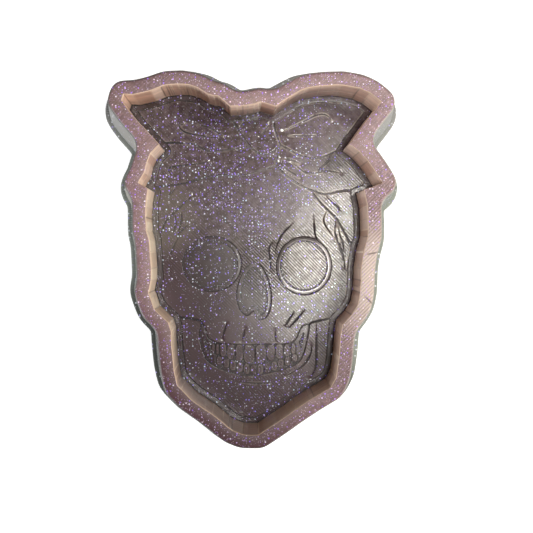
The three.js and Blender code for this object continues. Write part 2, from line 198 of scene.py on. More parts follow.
def loops_at(node, z):
    """Closed outlines of a CAD node's flat faces at one height, with the solid on their left from above."""
    corners, triangles = corners_and_triangles(node)
    flat = triangles[np.all(np.abs(corners[triangles][:, :, 2] - z) < SAME_LEVEL, axis=1)]
    a, b, c = (corners[flat[:, i], :2] for i in range(3))
    clockwise = (b[:, 0] - a[:, 0]) * (c[:, 1] - a[:, 1]) < (b[:, 1] - a[:, 1]) * (c[:, 0] - a[:, 0])
    flat[clockwise] = flat[clockwise][:, ::-1]
    edges = {(int(t[i]), int(t[(i + 1) % 3])) for t in flat for i in range(3)}
    following = {start: end for start, end in sorted(edges) if (end, start) not in edges}
    loops = []
    while following:
        start, here = following.popitem()
        loop = [start]
        while here != start:
            loop.append(here)
            here = following.pop(here)
        loops.append(without_flat_corners(corners[loop][:, :2]))
    return sorted(loops, key=lambda loop: -np.ptp(loop[:, 0]))


def edges_of(loop):
    """Each edge's direction and length, from its point to the next."""
    ahead = np.roll(loop, -1, axis=0) - loop
    length = np.linalg.norm(ahead, axis=1)
    return ahead / length[:, None], length


def turns_of(loop):
    """How many degrees the outline turns at each point."""
    along, _ = edges_of(loop)
    before = np.roll(along, 1, axis=0)
    return np.degrees(np.arccos(np.clip((before * along).sum(axis=1), -1, 1)))


def without_flat_corners(loop):
    return loop[turns_of(loop) > STRAIGHT]


def rounded_between_corners(loop, step, sharpest=SHARP_CORNER):
    """The same outline, curved through its points except where it turns more than the sharpest angle."""
    along, length = edges_of(loop)
    before, length_before = np.roll(along, 1, axis=0), np.roll(length, 1)
    sharp = (turns_of(loop) > sharpest)[:, None]
    tangent = before * length_before[:, None] + along * length[:, None]
    tangent /= np.linalg.norm(tangent, axis=1)[:, None]
    leaving = np.where(sharp, along, tangent)
    arriving = np.roll(np.where(sharp, before, tangent), -1, axis=0)
    following = np.roll(loop, -1, axis=0)
    points = []
    for i, reach in enumerate(length):
        t = np.linspace(0, 1, max(1, math.ceil(reach / step)), endpoint=False)[:, None]
        points.append(
            (2 * t ** 3 - 3 * t ** 2 + 1) * loop[i] + (t ** 3 - 2 * t ** 2 + t) * reach * leaving[i]
            + (3 * t ** 2 - 2 * t ** 3) * following[i] + (t ** 3 - t ** 2) * reach * arriving[i]
        )
    return np.concatenate(points)


def even(loop, step):
    """The same outline with its points at even steps."""
    _, length = edges_of(loop)
    at = np.concatenate([[0], np.cumsum(length)])
    closed = np.concatenate([loop, loop[:1]])
    wanted = np.linspace(0, at[-1], max(8, round(at[-1] / step)), endpoint=False)
    return np.stack([np.interp(wanted, at, closed[:, axis]) for axis in (0, 1)], axis=1)


def softened(loop, softness):
    """The outline, whose points are at even steps, with its corners rounded by a Gaussian of this width."""
    _, length = edges_of(loop)
    waves = np.fft.fftfreq(len(loop), d=length.mean())
    weight = np.exp(-2 * (math.pi * softness * waves) ** 2)[:, None]
    return np.real(np.fft.ifft(np.fft.fft(loop, axis=0) * weight, axis=0))


def relief_outline(loop, step):
    """The edge of a raised area. The casting made the lines between two areas narrower and less even."""
    smooth = softened(even(rounded_between_corners(loop, step), step), RELIEF_SOFTNESS)
    waver = np.convolve(DICE.uniform(-1, 1, len(smooth) + 2), (0.25, 0.5, 0.25), "valid")
    return smooth - left_normals(smooth) * (RELIEF_GROWTH + RELIEF_WAVER * waver[:, None])


def left_normals(loop):
    """Unit normals that point to the left of the outline, into the solid."""
    ahead = np.roll(loop, -1, axis=0) - np.roll(loop, 1, axis=0)
    ahead /= np.linalg.norm(ahead, axis=1)[:, None]
    return np.stack([-ahead[:, 1], ahead[:, 0]], axis=1)


def fence_round(loops):
    """A low fence on the outlines, which finds the nearest stretch of them."""
    corners, panels = [], []
    for loop in loops:
        first, count = len(corners), 2 * len(loop)
        for x, y in loop:
            corners += [(x, y, -1), (x, y, 1)]
        for i in range(0, count, 2):
            j = (i + 2) % count
            panels.append((first + i, first + j, first + j + 1, first + i + 1))
    return BVHTree.FromPolygons(corners, panels)


def distances(fence, points):
    return np.array([fence.find_nearest((x, y, 0))[3] for x, y in points])


def inside(loops, points, at_once=1000):
    """Which points lie inside the outlines, with holes left out."""
    starts = np.concatenate(loops)
    ends = np.concatenate([np.roll(loop, -1, axis=0) for loop in loops])
    found = np.zeros(len(points), bool)
    for at in range(0, len(points), at_once):
        part = points[at:at + at_once]
        x, y = part[:, 0, None], part[:, 1, None]
        spans = (starts[:, 1] > y) != (ends[:, 1] > y)
        rise = np.where(ends[:, 1] == starts[:, 1], 1, ends[:, 1] - starts[:, 1])
        crossing = starts[:, 0] + (y - starts[:, 1]) * (ends[:, 0] - starts[:, 0]) / rise
        found[at:at + at_once] = (spans & (crossing > x)).sum(axis=1) % 2 == 1
    return found


# Meshes

def mesh_object(name, corners, faces, material, **marks):
    """A mesh piece in metres from corners in millimetres, with a number per corner for each mark."""
    mesh = bpy.data.meshes.new(name)
    mesh.from_pydata([tuple(c) for c in np.asarray(corners) * MM], [], [tuple(map(int, f)) for f in faces])
    for mark, values in marks.items():
        mesh.attributes.new(mark, "FLOAT", "POINT").data.foreach_set("value", np.asarray(values, np.float32))
    mesh.validate()
    mesh.shade_smooth()
    mesh.set_sharp_from_angle(angle=math.radians(SHARP_FACES))
    mesh.materials.append(material)
    made = bpy.data.objects.new(name, mesh)
    bpy.context.scene.collection.objects.link(made)
    return made


def fit(piece, node):
    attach(piece, "root")
    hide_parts(node)


def triangulated(loops, inner_points):
    """Points and triangles of the area inside the outlines, with the inner points in it."""
    points = np.concatenate([*loops, inner_points])
    edges, first = [], 0
    for loop in loops:
        edges += [(first + i, first + (i + 1) % len(loop)) for i in range(len(loop))]
        first += len(loop)
    corners, _, faces, *_ = delaunay_2d_cdt([Vector(p) for p in points], edges, [], 0, SAME_POINT)
    return np.array([c[:] for c in corners]), np.array(faces)


def plate(name, outlines, bottom, top, edge_radius, material, other_outlines=()):
    """Closed plate with a rounded top edge. Its mark 'edge' is the distance in mm from the nearest outline,
    and 'sunken' is 1 on the plate that lies round other outlines."""
    marked = [*outlines, *other_outlines]
    fence = fence_round(marked)
    rings = [edge_radius * share for share in EDGE_RINGS] if edge_radius else []
    low = np.min([loop.min(axis=0) for loop in outlines], axis=0)
    high = np.max([loop.max(axis=0) for loop in outlines], axis=0)
    steps = [np.arange(low[i], high[i], FLOOR_GRID) for i in (0, 1)]
    grid = np.stack(np.meshgrid(*steps), axis=-1).reshape(-1, 2)
    inner = [grid[distances(fence, grid) > edge_radius + GRID_ROOM]]
    for ring in rings:
        moved = np.concatenate([loop + left_normals(loop) * ring for loop in outlines])
        inner.append(moved[distances(fence, moved) > RING_ROOM * ring])
    inner = np.concatenate(inner)
    inner = inner[inside(outlines, inner)]
    if other_outlines:
        inner = inner[~inside(other_outlines, inner)]
    flat, triangles = triangulated(marked, inner)
    triangles = triangles[inside(outlines, flat[triangles].mean(axis=1))]
    edge = distances(fence, flat)
    depth = np.clip(edge_radius - edge, 0, None)
    drop = edge_radius - np.sqrt(np.clip(edge_radius ** 2 - depth ** 2, 0, None))
    upper = np.column_stack([flat, top - drop])
    lower = np.column_stack([flat, np.full(len(flat), bottom)])
    count = len(flat)
    directed = {(int(t[i]), int(t[(i + 1) % 3])) for t in triangles for i in range(3)}
    border = sorted((a, b) for a, b in directed if (b, a) not in directed)
    faces = [*triangles, *(triangles[:, ::-1] + count)]
    faces += [(a, a + count, b + count, b) for a, b in border]
    sunken = np.full(2 * count, 1.0 if other_outlines else 0.0)
    edge = np.concatenate([edge, edge])
    return mesh_object(name, np.concatenate([upper, lower]), faces, material, edge=edge, sunken=sunken)


def skin(levels, first):
    """Faces between matching outlines, listed from the bottom up, whose corners start at the given number."""
    count = len(levels[0])
    faces = []
    for k in range(len(levels) - 1):
        low, high = first + k * count, first + (k + 1) * count
        faces += [(low + i, low + (i + 1) % count, high + (i + 1) % count, high + i) for i in range(count)]
    return faces


def cap(outlines, firsts, up):
    """Faces over the area inside the outlines, whose corners start at the given numbers."""
    numbers = np.concatenate([first + np.arange(len(loop)) for loop, first in zip(outlines, firsts)])
    flat, triangles = triangulated(outlines, np.zeros((0, 2)))
    triangles = triangles[inside(outlines, flat[triangles].mean(axis=1))]
    return [tuple(numbers[t] if up else numbers[t[::-1]]) for t in triangles]


# Materials

def add(tree, kind, links=None, **settings):
    """Adds a shader node. Each link sets or joins one input: a value, a node or a node's output. Where
    inputs share a name, the enabled one is meant."""
    made = tree.nodes.new("ShaderNode" + kind)
    for name, value in settings.items():
        setattr(made, name, value)
    for name, value in (links or {}).items():
        named = [s for s in made.inputs if s.enabled and s.name == name]
        socket = named[0] if named else made.inputs[name]
        if isinstance(value, bpy.types.Node):
            value = next(s for s in value.outputs if s.enabled)
        if isinstance(value, bpy.types.NodeSocket):
            tree.links.new(value, socket)
        else:
            socket.default_value = value
    return made


def material_with(name):
    """A new material without nodes, and its tree."""
    material = bpy.data.materials.new(name)
    material.use_nodes = True
    material.node_tree.nodes.clear()
    return material, material.node_tree


def place_in_mm(tree):
    metres = add(tree, "TexCoord").outputs["Object"]
    return add(tree, "VectorMath", {0: metres, "Scale": 1 / MM}, operation="SCALE")


def patches(tree, place, size, low=0.35, high=0.65, detail=2.0):
    """Cloudy patches of about this size in mm: 0 in some and 1 in others."""
    cloud = add(tree, "TexNoise", {"Vector": place, "Scale": 1 / size, "Detail": detail})
    contrast = {"Value": cloud, "From Min": low, "From Max": high}
    return add(tree, "MapRange", contrast, interpolation_type="SMOOTHSTEP")


def blotched(tree, place, size, first, second, detail=2.0):
    """The first colour with patches of the second."""
    share = patches(tree, place, size, detail=detail)
    return add(tree, "Mix", {"Factor": share, "A": first, "B": second}, data_type="RGBA")


def darkened(tree, base, share, depth):
    """The colour with part of its light taken away where the share is 1."""
    keep = add(tree, "Math", {0: share, 1: -depth, 2: 1.0}, operation="MULTIPLY_ADD")
    return add(tree, "VectorMath", {0: base, "Scale": keep}, operation="SCALE")


def glittered(tree, base, place, cell, flake, share, tints, axes="2D"):
    """The base with round flakes of glitter, one in each cell that the share picks. Gives it, and where and
    in which tint the flakes are."""
    cells = add(tree, "TexVoronoi", {"Vector": place, "Scale": 1 / cell}, voronoi_dimensions=axes)
    dice = add(tree, "SeparateColor", {"Color": cells.outputs["Color"]})
    picked = add(tree, "Math", {0: dice.outputs["Red"], 1: share}, operation="LESS_THAN")
    half = 0.5 * flake / cell
    reach = add(tree, "Math", {0: dice.outputs["Blue"], 1: half, 2: half}, operation="MULTIPLY_ADD")
    core = add(tree, "Math", {0: reach, 1: 0.3}, operation="MULTIPLY")
    disc = {"Value": cells.outputs["Distance"], "From Min": reach, "From Max": core}
    disc = add(tree, "MapRange", disc, interpolation_type="SMOOTHSTEP")
    ramp = add(tree, "ValToRGB", {"Fac": dice.outputs["Green"]})
    stops = ramp.color_ramp
    stops.interpolation = "CONSTANT"
    for i, tint in enumerate(tints):
        stop = stops.elements[i] if i < 2 else stops.elements.new(i / len(tints))
        stop.position = i / len(tints)
        stop.color = colour(tint)
    where = add(tree, "Math", {0: picked, 1: disc}, operation="MULTIPLY")
    return add(tree, "Mix", {"Factor": where, "A": base, "B": ramp}, data_type="RGBA"), where, ramp


def deepening(tree, place, way, start, end):
    """A change across the casting, of colour, painted shade, painted light and the lines: 0 up to the start
    and 1 from the end, in mm that way.
    """
    along = add(tree, "VectorMath", {0: place, 1: way}, operation="DOT_PRODUCT")
    change = {"Value": along.outputs["Value"], "From Min": start, "From Max": end}
    return add(tree, "MapRange", change, interpolation_type="SMOOTHSTEP")


def near(tree, place, centre, inner, outer):
    """1 around a point of the casting, fading to 0 further out."""
    gap = add(tree, "VectorMath", {0: place, 1: centre}, operation="DISTANCE")
    fade = {"Value": gap.outputs["Value"], "From Min": outer, "From Max": inner}
    return add(tree, "MapRange", fade, interpolation_type="SMOOTHSTEP")


def stripe(tree, place, centre, way, reach):
    """1 on a narrow line through a point of the casting, fading out at the reach."""
    offset = add(tree, "VectorMath", {0: place, 1: centre}, operation="SUBTRACT")
    across = (way[1], -way[0], 0.0)
    off = add(tree, "VectorMath", {0: offset, 1: across}, operation="DOT_PRODUCT")
    off = add(tree, "Math", {0: off.outputs["Value"]}, operation="ABSOLUTE")
    line = {"Value": off, "From Min": 0.3, "From Max": 0.12}
    line = add(tree, "MapRange", line, interpolation_type="SMOOTHSTEP")
    end = near(tree, place, centre, 0.8 * reach, 1.3 * reach)
    return add(tree, "Math", {0: line, 1: end}, operation="MULTIPLY")


def ridges(tree, across, pitch):
    """Printed lines with valleys between them, 1 high, across a distance in mm."""
    turn = add(tree, "Math", {0: across, 1: math.pi / pitch}, operation="MULTIPLY")
    wave = add(tree, "Math", {0: turn}, operation="SINE")
    wave = add(tree, "Math", {0: wave}, operation="ABSOLUTE")
    crest = {"Value": wave, "From Min": LINE_VALLEY, "From Max": 1.0}
    return add(tree, "MapRange", crest, interpolation_type="SMOOTHSTEP")


def floor_silicone():
    # Gives the eye a dark, wet-looking rubber, mottled purple-brown and olive, ruled with fine diagonal lines
    # that show where light glances off it, and dusted with violet glitter, thickest on the forehead. It
    # carries painted shade in its lines and grooves and towards the left, painted highlights on rounded
    # edges, and painted glints on its flakes
    material, tree = material_with("floor_silicone_cast_on_print_lines")
    place = place_in_mm(tree)
    edge = add(tree, "Attribute", attribute_name="edge").outputs["Fac"]
    sunken = add(tree, "Attribute", attribute_name="sunken").outputs["Fac"]

    # Diagonal print lines, and two loops of them along a sunken area's border
    across = add(tree, "VectorMath", {0: place, 1: ACROSS_FLOOR_LINES}, operation="DOT_PRODUCT")
    diagonals = ridges(tree, across.outputs["Value"], FLOOR_LINE_PITCH)
    loops = add(tree, "MapRange", {"Value": ridges(tree, edge, PERIMETER_WIDTH / 2), "To Min": 0.7})
    in_loops = add(tree, "Math", {0: edge, 1: PERIMETER_WIDTH}, operation="LESS_THAN")
    in_loops = add(tree, "Math", {0: in_loops, 1: sunken}, operation="MULTIPLY")
    lines = add(tree, "Mix", {"Factor": in_loops, "A": diagonals, "B": loops})

    # They are fainter in patches, on the smooth forehead and on the bow, and clear at the right eye socket,
    # the nose and the left temple
    strength = add(tree, "MapRange", {"Value": patches(tree, place, 9, 0.35, 0.6), "To Min": 0.55})
    smooth = near(tree, place, FOREHEAD, 8, SMOOTH_REACH)
    fade = add(tree, "Math", {0: smooth, 1: -0.7, 2: 1.0}, operation="MULTIPLY_ADD")
    strength = add(tree, "Math", {0: strength, 1: fade}, operation="MULTIPLY")
    right_eye = near(tree, place, RIGHT_EYE, 6, 13)
    strength = add(tree, "Math", {0: strength, 1: right_eye}, operation="MAXIMUM")
    nose = near(tree, place, NOSE, 5, 9)
    strength = add(tree, "Math", {0: strength, 1: nose}, operation="MAXIMUM")
    temple = near(tree, place, LEFT_TEMPLE, 6, 12)
    strength = add(tree, "Math", {0: strength, 1: temple}, operation="MAXIMUM")
    temple = add(tree, "Math", {0: temple, 1: 0.35}, operation="MULTIPLY")
    bow = deepening(tree, place, TO_BOW, 20, 30)
    strength = add(tree, "Math", {0: bow, 1: -0.45, 2: strength}, operation="MULTIPLY_ADD", use_clamp=True)
    strength = add(tree, "Math", {0: nose, 1: 1.6, 2: strength}, operation="MULTIPLY_ADD")
    between = add(tree, "Math", {0: 1.0, 1: lines}, operation="SUBTRACT")
    valley = add(tree, "Math", {0: between, 1: strength}, operation="MULTIPLY", use_clamp=True)

    # Where the diagonal lines turn back at a sunken area's border they leave a row of dimples
    off_ring = add(tree, "Math", {0: edge, 1: DIMPLE_RING}, operation="SUBTRACT")
    off_ring = add(tree, "Math", {0: off_ring}, operation="ABSOLUTE")
    ring = {"Value": off_ring, "From Min": 0.32, "From Max": 0.1}
    ring = add(tree, "MapRange", ring, interpolation_type="SMOOTHSTEP")
    ring = add(tree, "Math", {0: ring, 1: sunken}, operation="MULTIPLY")
    dimples = add(tree, "MapRange", {"Value": patches(tree, place, 0.42, 0.42, 0.55), "To Min": 0.5})
    dimples = add(tree, "Math", {0: ring, 1: dimples}, operation="MULTIPLY")
    valley = add(tree, "Math", {0: valley, 1: dimples}, operation="MAXIMUM")

    # Lines between raised areas get painted shade and are rough and deep, less so on the smooth forehead,
    # round the mouth and towards the right
    lit = deepening(tree, place, TO_RIGHT_TEMPLE, 8, 20)
    by_edge = {"Value": edge, "From Min": 0.4, "From Max": 0.18}
    by_edge = add(tree, "MapRange", by_edge, interpolation_type="SMOOTHSTEP")
    line = add(tree, "Math", {0: by_edge, 1: sunken}, operation="MULTIPLY")
    uneven = add(tree, "MapRange", {"Value": patches(tree, place, 4), "To Min": 0.8, "To Max": 1.0})
    uneven = add(tree, "Math", {0: smooth, 1: -0.5, 2: uneven}, operation="MULTIPLY_ADD")
    uneven = add(tree, "Math", {0: lit, 1: -0.25, 2: uneven}, operation="MULTIPLY_ADD")
    mouth = near(tree, place, MOUTH, 7, 15)
    uneven = add(tree, "Math", {0: mouth, 1: -0.2, 2: uneven}, operation="MULTIPLY_ADD", use_clamp=True)
    groove = add(tree, "Math", {0: line, 1: uneven}, operation="MULTIPLY")
    valley = add(tree, "Math", {0: valley, 1: groove}, operation="MAXIMUM")

    # All of these lines are shallower towards the left jaw
    shallow = deepening(tree, place, TO_LEFT_JAW, -8, 14)
    depth = add(tree, "Math", {0: shallow, 1: 0.7, 2: -1.0}, operation="MULTIPLY_ADD")
    depth = add(tree, "Math", {0: valley, 1: depth}, operation="MULTIPLY")
    normal = add(tree, "Bump", {"Height": depth, "Distance": LINE_HEIGHT * MM})
    grain = add(tree, "TexNoise", {"Vector": place, "Scale": 2.0, "Detail": 4.0})
    normal = add(tree, "Bump", {"Height": grain, "Distance": FLOOR_GRAIN * MM, "Normal": normal})

    # Olive and purple blotches, with painted shade towards the left, in the lines and beside the wall's foot
    # at the left
    base = blotched(tree, place, 14, colour("#685D57"), colour("#66555C"))
    base = blotched(tree, place, 1.3, base, colour("#827378"), detail=3.0)
    # Painted shade: a darker mauve towards the lower left jaw
    lower_left_shade = deepening(tree, place, TO_LEFT_JAW, -6, 22)
    base = add(tree, "Mix", {"Factor": lower_left_shade, "A": base, "B": colour("#5F4850")}, data_type="RGBA")
    # Painted shade in the print lines' valleys, in the dimples and in the grooves between raised areas
    base = darkened(tree, base, valley, 0.88)
    # Painted shade in the sunken areas, strongest towards the left cheek and beside the wall's foot at the
    # left
    shade = deepening(tree, place, TO_LEFT_CHEEK, -12, 8)
    shade = add(tree, "Math", {0: sunken, 1: shade}, operation="MULTIPLY")
    base = darkened(tree, base, shade, 0.38)
    base = darkened(tree, base, smooth, 0.12)
    # Painted shade towards the left
    base = darkened(tree, base, deepening(tree, place, TO_LEFT, -10, 14), 0.26)
    # Painted shade towards the bow
    base = darkened(tree, base, bow, 0.08)
    # Painted shade at the right cheek, where the highlight ends
    base = darkened(tree, base, near(tree, place, RIGHT_CHEEK, 4, 10), 0.3)
    # Painted sheen: the left temple is lighter and greyer
    base = add(tree, "Mix", {"Factor": temple, "A": base, "B": colour("#7F7A70")}, data_type="RGBA")

    # Painted highlights on the raised areas' rounded edges, at the right, on the teeth and on the bow
    edge_highlight_places = add(tree, "Math", {0: mouth, 1: bow}, operation="MAXIMUM")
    edge_highlight_places = add(tree, "Math", {0: edge_highlight_places, 1: 0.3}, operation="MULTIPLY")
    edge_highlight_places = add(tree, "Math", {0: edge_highlight_places, 1: lit}, operation="MAXIMUM")
    edge_highlight = add(tree, "Math", {0: by_edge, 1: line}, operation="SUBTRACT")
    edge_highlight = add(tree, "Math", {0: edge_highlight, 1: edge_highlight_places}, operation="MULTIPLY")
    broken = patches(tree, place, 2, 0.4, 0.55)
    edge_highlight = add(tree, "Math", {0: edge_highlight, 1: broken}, operation="MULTIPLY")
    base = add(tree, "Mix", {"Factor": edge_highlight, "A": base, "B": colour("#AEA49C")}, data_type="RGBA")

    # The right eye socket's smooth border gets painted shade and more roughness on its near side, and is left
    # light on its far side
    border = {"Value": edge, "From Min": 0.95, "From Max": 0.75}
    border = add(tree, "MapRange", border, interpolation_type="SMOOTHSTEP")
    border = add(tree, "Math", {0: border, 1: sunken}, operation="MULTIPLY")
    border = add(tree, "Math", {0: border, 1: right_eye}, operation="MULTIPLY")
    near_side = deepening(tree, place, TO_LEFT_SCARF, -10, -5)
    border = add(tree, "Math", {0: border, 1: near_side}, operation="MULTIPLY")
    base = darkened(tree, base, border, 0.4)

    # The glitter lies in patches, thickest on the forehead, where its extra flakes are painted glints, and
    # thinnest in the right eye socket
    flake_share = add(tree, "MapRange", {"Value": patches(tree, place, 6), "To Min": 0.4, "To Max": 1.2})
    forehead = near(tree, place, FOREHEAD, 6, GLITTER_REACH)
    boost = add(tree, "Math", {0: forehead, 1: 1.1, 2: 0.95}, operation="MULTIPLY_ADD")
    flake_share = add(tree, "Math", {0: flake_share, 1: boost}, operation="MULTIPLY")
    flake_share = add(tree, "Math", {0: mouth, 1: 0.4, 2: flake_share}, operation="MULTIPLY_ADD")
    sparse = add(tree, "Math", {0: right_eye, 1: -0.85, 2: 1.0}, operation="MULTIPLY_ADD")
    sparse = add(tree, "Math", {0: lower_left_shade, 1: -0.15, 2: sparse}, operation="MULTIPLY_ADD")
    flake_share = add(tree, "Math", {0: flake_share, 1: sparse}, operation="MULTIPLY")
    flake_share = add(tree, "Math", {0: ring, 1: 1.2, 2: flake_share}, operation="MULTIPLY_ADD")
    layers = (
        (0.18, ["#6F6092", "#8A829C", "#7C6C8C", "#8C9098"]),
        (0.13, ["#9478DC", "#C4B4E4", "#D4D6E4", "#A890DC", "#C8B8D0"]),
        (0.22, ["#9474F4", "#C8B2FA", "#E4E4F8", "#8C7EF2", "#B8A0F8", "#D2E2F8", "#A488F6"]),
    )
    for (cell, flake), (amount, tints) in zip(FLOOR_FLAKES, layers):
        share = add(tree, "Math", {0: flake_share, 1: amount}, operation="MULTIPLY")
        base, bright, tint = glittered(tree, base, place, cell, flake, share, tints)
    roughness = add(tree, "Math", {0: valley, 1: 0.42, 2: 0.115}, operation="MULTIPLY_ADD")
    roughness = add(tree, "Math", {0: border, 1: 0.3, 2: roughness}, operation="MULTIPLY_ADD")
    # Painted glints: the flakes glow, a little more at the right
    painted_glint = add(tree, "Math", {0: lit, 1: 0.1, 2: 0.42}, operation="MULTIPLY_ADD")
    painted_glint = add(tree, "Math", {0: bright, 1: painted_glint}, operation="MULTIPLY")
    add(tree, "OutputMaterial", {"Surface": add(tree, "BsdfPrincipled", {
        "Base Color": base,
        "Roughness": roughness,
        "IOR": SILICONE_IOR,
        "Normal": normal,
        "Emission Color": tint,
        "Emission Strength": painted_glint,
    })})
    return material


def rim_silicone():
    # Gives the eye a satin, dusty pink rubber with lilac glitter and faint slanting lines. It turns paler
    # with a painted sheen and more clearly ruled to the right, and deeper with painted shade towards the
    # chin, its rounded sides carry no glitter, and its flakes carry painted glints
    material, tree = material_with("rim_silicone_cast_on_print_lines")
    place = place_in_mm(tree)
    inner = add(tree, "Attribute", attribute_name="inner").outputs["Fac"]
    across = add(tree, "VectorMath", {0: place, 1: ACROSS_RIM_LINES}, operation="DOT_PRODUCT")
    lines = ridges(tree, across.outputs["Value"], RIM_LINE_PITCH)
    strength = add(tree, "MapRange", {"Value": patches(tree, place, 11), "To Min": 0.5})
    ruled = near(tree, place, RIM_SHEEN_CENTRE, 12, 36)
    ruled = add(tree, "Math", {0: ruled, 1: 0.7, 2: 0.3}, operation="MULTIPLY_ADD")
    strength = add(tree, "Math", {0: strength, 1: ruled}, operation="MULTIPLY")
    valley = add(tree, "Math", {0: 1.0, 1: lines}, operation="SUBTRACT")
    valley = add(tree, "Math", {0: valley, 1: strength}, operation="MULTIPLY")

    # The two seams where lines of the tray's bottom met
    for seam_place, seam_way in RIM_SEAMS:
        seam = stripe(tree, place, seam_place, seam_way, 4)
        valley = add(tree, "Math", {0: valley, 1: seam}, operation="MAXIMUM")
    depth = add(tree, "Math", {0: valley, 1: -1.0}, operation="MULTIPLY")
    normal = add(tree, "Bump", {"Height": depth, "Distance": LINE_HEIGHT * MM})
    grain = add(tree, "TexNoise", {"Vector": place, "Scale": 2.5, "Detail": 4.0})
    normal = add(tree, "Bump", {"Height": grain, "Distance": RIM_GRAIN * MM, "Normal": normal})

    # Pink, paler with a painted sheen at the right, and deeper with painted shade towards the chin's left
    pink = blotched(tree, place, 12, colour("#7E6365"), colour("#876E69"))
    pink = blotched(tree, place, 1.2, pink, colour("#947577"), detail=3.0)
    # Painted sheen round the rim's right side
    painted_sheen = near(tree, place, RIM_SHEEN_CENTRE, 6, 22)
    pink = add(tree, "Mix", {"Factor": painted_sheen, "A": pink, "B": colour("#CDB9AE")}, data_type="RGBA")
    # Painted shade: a deeper mauve towards the chin's left
    lower_left_shade = deepening(tree, place, TO_LEFT_CHIN, 17, 40)
    pink = add(tree, "Mix", {"Factor": lower_left_shade, "A": pink, "B": colour("#644248")}, data_type="RGBA")
    # Painted shade at the lower right and the top left
    pink = darkened(tree, pink, deepening(tree, place, TO_RIGHT_JAW, 18, 36), 0.18)
    pink = darkened(tree, pink, deepening(tree, place, TO_LEFT_LOOP, 38, 48), 0.15)
    # Painted shade in the valleys of the lines and in the seams
    pink = darkened(tree, pink, valley, 0.6)
    fewer = add(tree, "Math", {0: lower_left_shade, 1: -0.08, 2: 0.2}, operation="MULTIPLY_ADD")
    layers = (
        (0.25, ["#A88CB4", "#C0A8B4", "#AF96B8"]),
        (fewer, ["#B890E0", "#CCB0D4", "#D8C8DC", "#AC80DC"]),
        (0.2, ["#B884F8", "#DDB8F8", "#F0E4F8", "#A070F0", "#F0D4EC", "#C89CF8"]),
    )
    for (cell, flake), (share, tints) in zip(RIM_FLAKES, layers):
        pink, bright, tint = glittered(tree, pink, place, cell, flake, share, tints)
    # Painted shade towards the chin's left, over the flakes too
    pink = darkened(tree, pink, lower_left_shade, 0.3)

    # Only the flat top carries the glitter. The rounded sides show the silicone under it, and outside they
    # get painted shade at the left and below the chin's right
    right = deepening(tree, place, TO_RIGHT, -5, 20)
    sides = {"Factor": right, "A": colour("#45433C"), "B": colour("#8A8279")}
    outer = add(tree, "Mix", sides, data_type="RGBA")
    outer = darkened(tree, outer, deepening(tree, place, TO_RIGHT_CHIN, 18, 34), 0.4)
    plain = add(tree, "Mix", {"Factor": inner, "A": outer, "B": colour("#D9C0A8")}, data_type="RGBA")
    up = add(tree, "SeparateXYZ", {"Vector": add(tree, "TexCoord").outputs["Normal"]}).outputs["Z"]
    on_top = add(tree, "MapRange", {"Value": up, "From Min": 0.6, "From Max": 0.97})
    base = add(tree, "Mix", {"Factor": on_top, "A": plain, "B": pink}, data_type="RGBA")
    # Painted glints: the flakes on the top glow, less towards the chin's left
    painted_glint = add(tree, "Math", {0: bright, 1: on_top}, operation="MULTIPLY")
    glow = add(tree, "Math", {0: lower_left_shade, 1: -0.12, 2: 0.22}, operation="MULTIPLY_ADD")
    painted_glint = add(tree, "Math", {0: painted_glint, 1: glow}, operation="MULTIPLY")
    roughness = add(tree, "Math", {0: valley, 1: 0.25, 2: 0.38}, operation="MULTIPLY_ADD")
    add(tree, "OutputMaterial", {"Surface": add(tree, "BsdfPrincipled", {
        "Base Color": base,
        "Roughness": roughness,
        "IOR": SILICONE_IOR,
        "Normal": normal,
        "Emission Color": tint,
        "Emission Strength": painted_glint,
    })})
    return material


